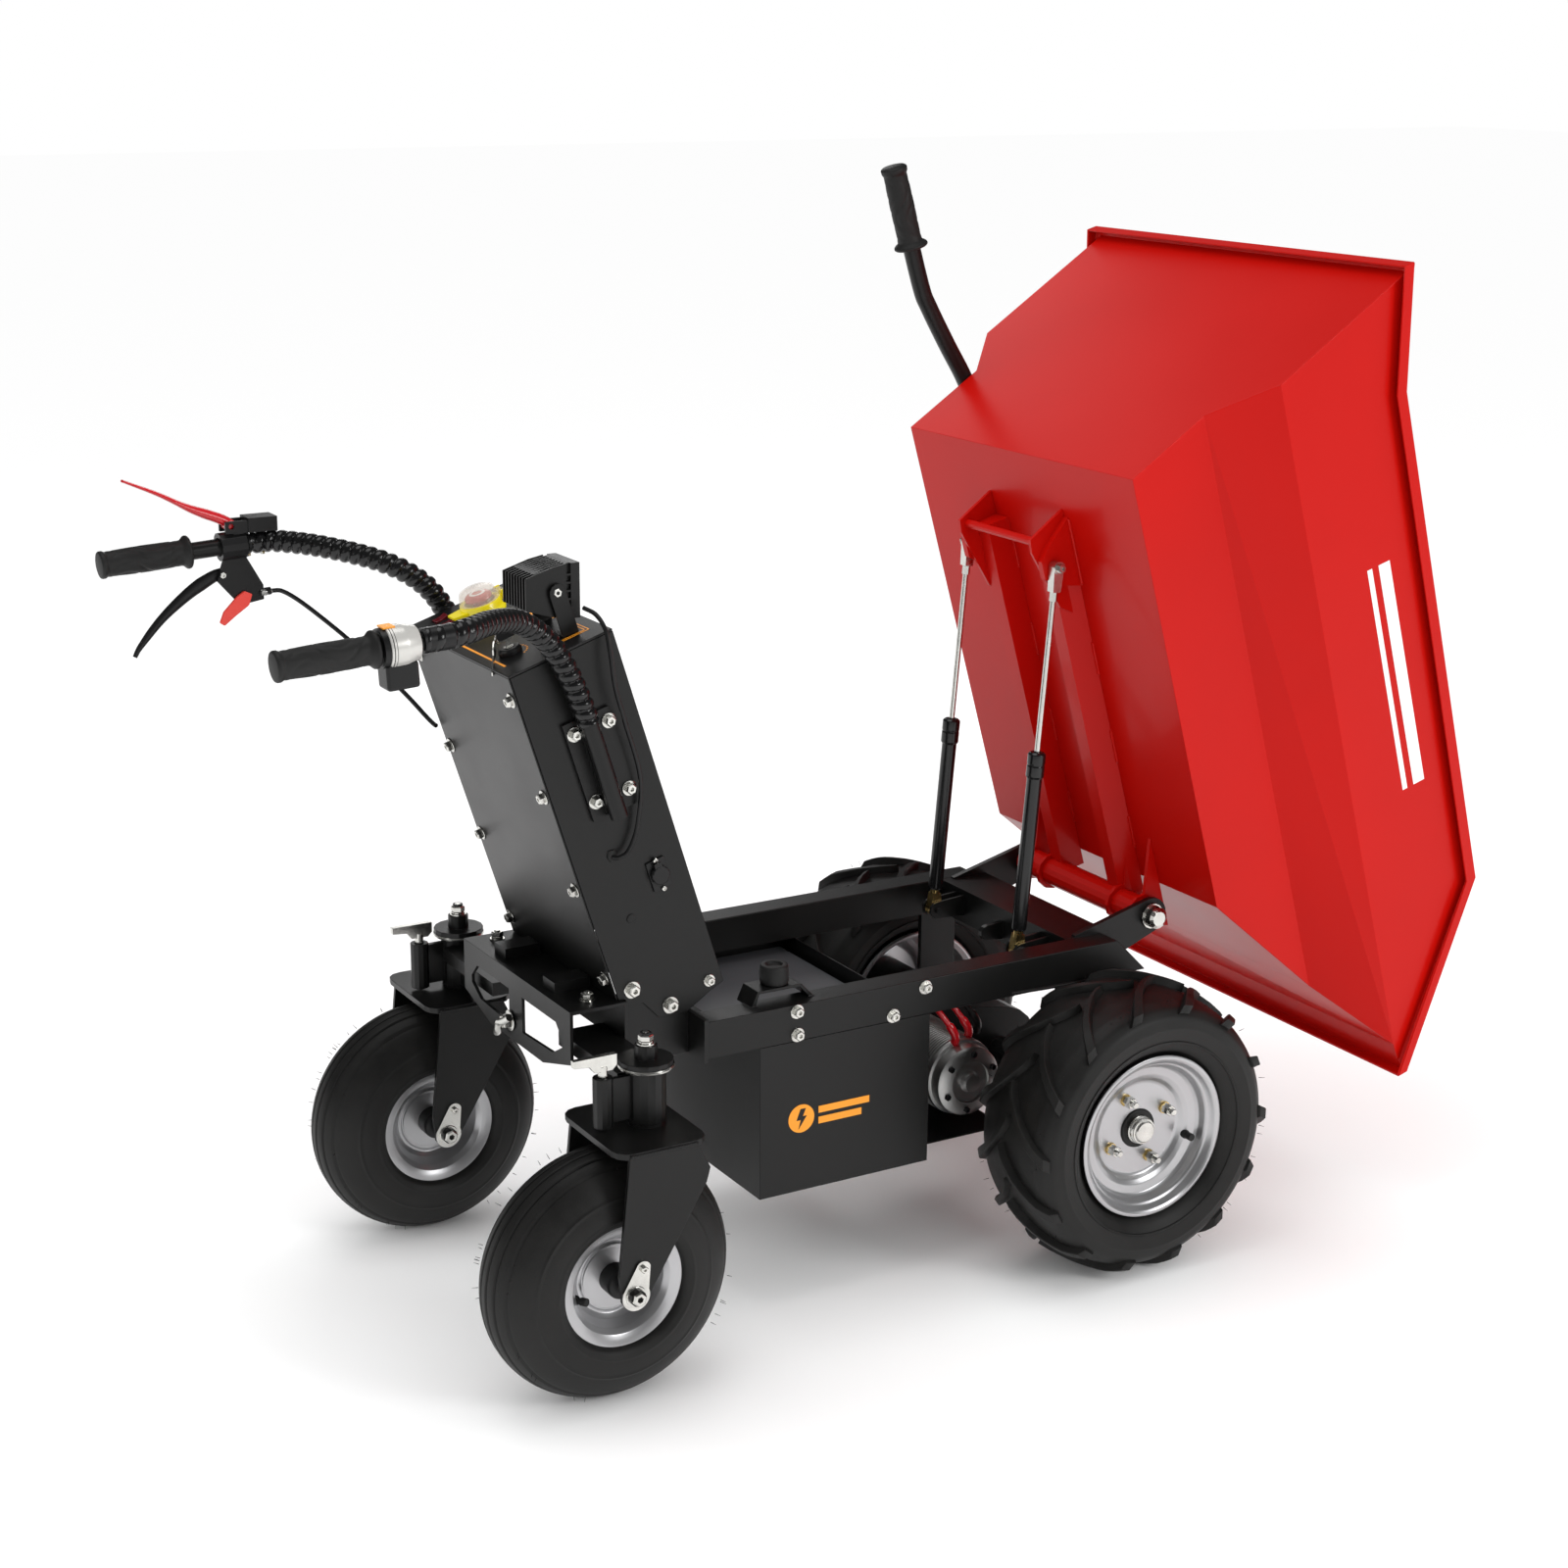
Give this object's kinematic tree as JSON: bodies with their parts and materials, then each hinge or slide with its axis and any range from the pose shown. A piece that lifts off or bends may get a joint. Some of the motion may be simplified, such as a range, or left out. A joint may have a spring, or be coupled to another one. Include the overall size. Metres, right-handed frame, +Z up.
{
  "type": "power wheelbarrow",
  "caption": "Walk-behind electric mini dumper: red tipping tub on gas struts, two driven wheels, two swivel casters, leaning console tower with handlebars and battery box.",
  "frame": {"origin": "on the ground below the middle of the object's bounding box, with the tub tipped forward", "axes": "+X towards the tub end, +Y to the operator's left, +Z up"},
  "size_m": [1.7528, 0.749, 1.4459],
  "materials": {
    "frame_black": "satin black powder coat",
    "tub_red": "gloss red paint",
    "tyre_rubber": "matt black rubber",
    "rim_silver": "silver paint",
    "zinc": "zinc plated",
    "grip_rubber": "soft rubber",
    "cover_plastic": "grained",
    "estop_yellow": "gloss",
    "signal_red": "gloss",
    "latch_red": "gloss",
    "clear_plastic": "clear",
    "aluminium": "cast",
    "battery_grey": "plain"
  },
  "bodies": {
    "chassis": {"chassis_rail_left": "frame_black", "chassis_rail_right": "frame_black", "rubber_buffer_left": "tyre_rubber", "rubber_buffer_right": "tyre_rubber", "front_subframe": "frame_black", "pivot_bolt": "zinc", "rear_subframe": "frame_black", "caster_arm_left": "frame_black", "caster_arm_right": "frame_black", "battery_box": "frame_black", "battery_pack": "battery_grey", "gearbox_axle": "aluminium", "drive_motor": "aluminium", "tower_shell": "frame_black", "tower_rear_cover": "frame_black", "tower_top_panel": "cover_plastic", "estop_base": "estop_yellow", "key_switch": "cover_plastic", "light_bracket": "frame_black", "charge_socket": "cover_plastic", "handlebar_left": "frame_black", "handlebar_right": "frame_black", "bar_wrap_left": "cover_plastic", "bar_wrap_right": "cover_plastic", "grip_left": "grip_rubber", "throttle_housing": "aluminium", "brake_bracket": "cover_plastic", "switch_box": "cover_plastic", "brake_cable": "grip_rubber", "light_cable": "grip_rubber"},
    "tub": {"tub_shell": "tub_red", "tub_underframe": "tub_red", "tub_handle": "frame_black"},
    "drive_wheel_left": {"drive_rim_left": "rim_silver", "drive_tyre_left": "tyre_rubber"},
    "drive_wheel_right": {"drive_rim_right": "rim_silver", "drive_tyre_right": "tyre_rubber"},
    "fork_left": {"caster_fork_left": "frame_black"},
    "fork_right": {"caster_fork_right": "frame_black"},
    "caster_wheel_left": {"caster_rim_left": "rim_silver", "caster_tyre_left": "tyre_rubber"},
    "caster_wheel_right": {"caster_rim_right": "rim_silver", "caster_tyre_right": "tyre_rubber"},
    "lock_pin_left": {"lock_pin_left": "zinc"},
    "lock_pin_right": {"lock_pin_right": "zinc"},
    "strut_body_left": {"strut_cylinder_left": "frame_black"},
    "strut_body_right": {"strut_cylinder_right": "frame_black"},
    "strut_rod_left": {"strut_rod_left": "zinc"},
    "strut_rod_right": {"strut_rod_right": "zinc"},
    "throttle": {"throttle_grip": "grip_rubber"},
    "brake_lever": {"brake_lever": "cover_plastic"},
    "park_latch": {"park_latch": "latch_red"},
    "deadman_lever": {"deadman_lever": "signal_red"},
    "estop_button": {"estop_button": "signal_red"},
    "estop_cover": {"estop_cover": "clear_plastic"},
    "rocker_a": {"rocker_switch_a": "signal_red"},
    "rocker_b": {"rocker_switch_b": "signal_red"},
    "key": {"ignition_key": "zinc"},
    "work_light": {"work_light": "aluminium"},
    "charge_cap": {"charge_cap": "cover_plastic"}
  },
  "joints": [
    {"name": "tub_tilt", "type": "hinge", "parent": "chassis", "child": "tub", "pos_m": [0.4485, 0, 0.431], "axis": [0, 1, 0], "range_deg": [-73.85, 0], "stiffness_Nm_per_rad": 40, "springref_deg": 20.05},
    {"name": "drive_spin_left", "type": "hinge", "parent": "chassis", "child": "drive_wheel_left", "pos_m": [0.3045, 0.292, 0.203], "axis": [0, 1, 0], "continuous": true},
    {"name": "drive_spin_right", "type": "hinge", "parent": "chassis", "child": "drive_wheel_right", "pos_m": [0.3045, -0.292, 0.203], "axis": [0, 1, 0], "continuous": true},
    {"name": "swivel_left", "type": "hinge", "parent": "chassis", "child": "fork_left", "pos_m": [-0.4167, 0.281, 0.38], "axis": [0, 0, 1], "continuous": true},
    {"name": "swivel_right", "type": "hinge", "parent": "chassis", "child": "fork_right", "pos_m": [-0.4167, -0.281, 0.38], "axis": [0, 0, 1], "continuous": true},
    {"name": "caster_spin_left", "type": "hinge", "parent": "fork_left", "child": "caster_wheel_left", "pos_m": [-0.4761, 0.281, 0.163], "axis": [0, 1, 0], "continuous": true},
    {"name": "caster_spin_right", "type": "hinge", "parent": "fork_right", "child": "caster_wheel_right", "pos_m": [-0.4761, -0.281, 0.163], "axis": [0, 1, 0], "continuous": true},
    {"name": "lock_lift_left", "type": "slide", "parent": "chassis", "child": "lock_pin_left", "axis": [0, 0, 1], "range_m": [0, 0.012], "stiffness_N_per_m": 300, "springref_m": -0.005},
    {"name": "lock_lift_right", "type": "slide", "parent": "chassis", "child": "lock_pin_right", "axis": [0, 0, 1], "range_m": [0, 0.012], "stiffness_N_per_m": 300, "springref_m": -0.005},
    {"name": "strut_swing_left", "type": "hinge", "parent": "chassis", "child": "strut_body_left", "pos_m": [0.2535, 0.105, 0.398], "axis": [0, 1, 0], "range_deg": [-89.8, 0]},
    {"name": "strut_swing_right", "type": "hinge", "parent": "chassis", "child": "strut_body_right", "pos_m": [0.2535, -0.105, 0.398], "axis": [0, 1, 0], "range_deg": [-89.8, 0]},
    {"name": "strut_travel_left", "type": "slide", "parent": "strut_body_left", "child": "strut_rod_left", "axis": [0.0861, 0, 0.9963], "range_m": [-0.2075, 0]},
    {"name": "strut_travel_right", "type": "slide", "parent": "strut_body_right", "child": "strut_rod_right", "axis": [0.0861, 0, 0.9963], "range_m": [-0.2075, 0]},
    {"name": "throttle_twist", "type": "hinge", "parent": "chassis", "child": "throttle", "pos_m": [-0.8156, -0.315, 0.97795], "axis": [-0.9983, 0, -0.0576], "range_deg": [0, 60], "stiffness_Nm_per_rad": 0.25, "springref_deg": -17.19},
    {"name": "brake_pull", "type": "hinge", "parent": "chassis", "child": "brake_lever", "pos_m": [-0.7175, 0.3208, 0.948], "axis": [0, 1, 0], "range_deg": [0, 25], "stiffness_Nm_per_rad": 1.5, "springref_deg": -17.19},
    {"name": "park_latch_turn", "type": "hinge", "parent": "chassis", "child": "park_latch", "pos_m": [-0.6865, 0.3075, 0.914], "axis": [0, 1, 0], "range_deg": [0, 30]},
    {"name": "deadman_press", "type": "hinge", "parent": "chassis", "child": "deadman_lever", "pos_m": [-0.7055, 0.315, 1.0112], "axis": [0, 1, 0], "range_deg": [0, 24], "stiffness_Nm_per_rad": 0.6, "springref_deg": -20.05},
    {"name": "estop_press", "type": "slide", "parent": "chassis", "child": "estop_button", "axis": [-0.3057, 0, 0.9521], "range_m": [-0.004, 0], "stiffness_N_per_m": 400, "springref_m": 0.001},
    {"name": "estop_cover_flip", "type": "hinge", "parent": "chassis", "child": "estop_cover", "pos_m": [-0.43256, 0.08, 0.94307], "axis": [0, 1, 0], "range_deg": [0, 110]},
    {"name": "rocker_a_press", "type": "hinge", "parent": "chassis", "child": "rocker_a", "pos_m": [-0.49382, 0.128, 0.89998], "axis": [0, 1, 0], "range_deg": [0, 18]},
    {"name": "rocker_b_press", "type": "hinge", "parent": "chassis", "child": "rocker_b", "pos_m": [-0.49382, 0.101, 0.89998], "axis": [0, 1, 0], "range_deg": [0, 18]},
    {"name": "key_turn", "type": "hinge", "parent": "chassis", "child": "key", "pos_m": [-0.49475, -0.085, 0.90125], "axis": [-0.3057, 0, 0.9521], "range_deg": [-60, 0]},
    {"name": "light_tilt", "type": "hinge", "parent": "chassis", "child": "work_light", "pos_m": [-0.44618, -0.08, 0.97566], "axis": [0, 1, 0], "range_deg": [-30, 30]},
    {"name": "charge_cap_flip", "type": "hinge", "parent": "chassis", "child": "charge_cap", "pos_m": [-0.33709, -0.1634, 0.62928], "axis": [-0.9521, 0, -0.3057], "range_deg": [0, 100], "stiffness_Nm_per_rad": 0.01, "springref_deg": -17.19}
  ],
  "couplings": [
    {"joint": "strut_swing_left", "follows": "tub_tilt", "ratio": 1.2151},
    {"joint": "strut_swing_right", "follows": "tub_tilt", "ratio": 1.2151},
    {"joint": "strut_travel_left", "follows": "tub_tilt", "m_per_rad": 0.16069},
    {"joint": "strut_travel_right", "follows": "tub_tilt", "m_per_rad": 0.16069}
  ]
}
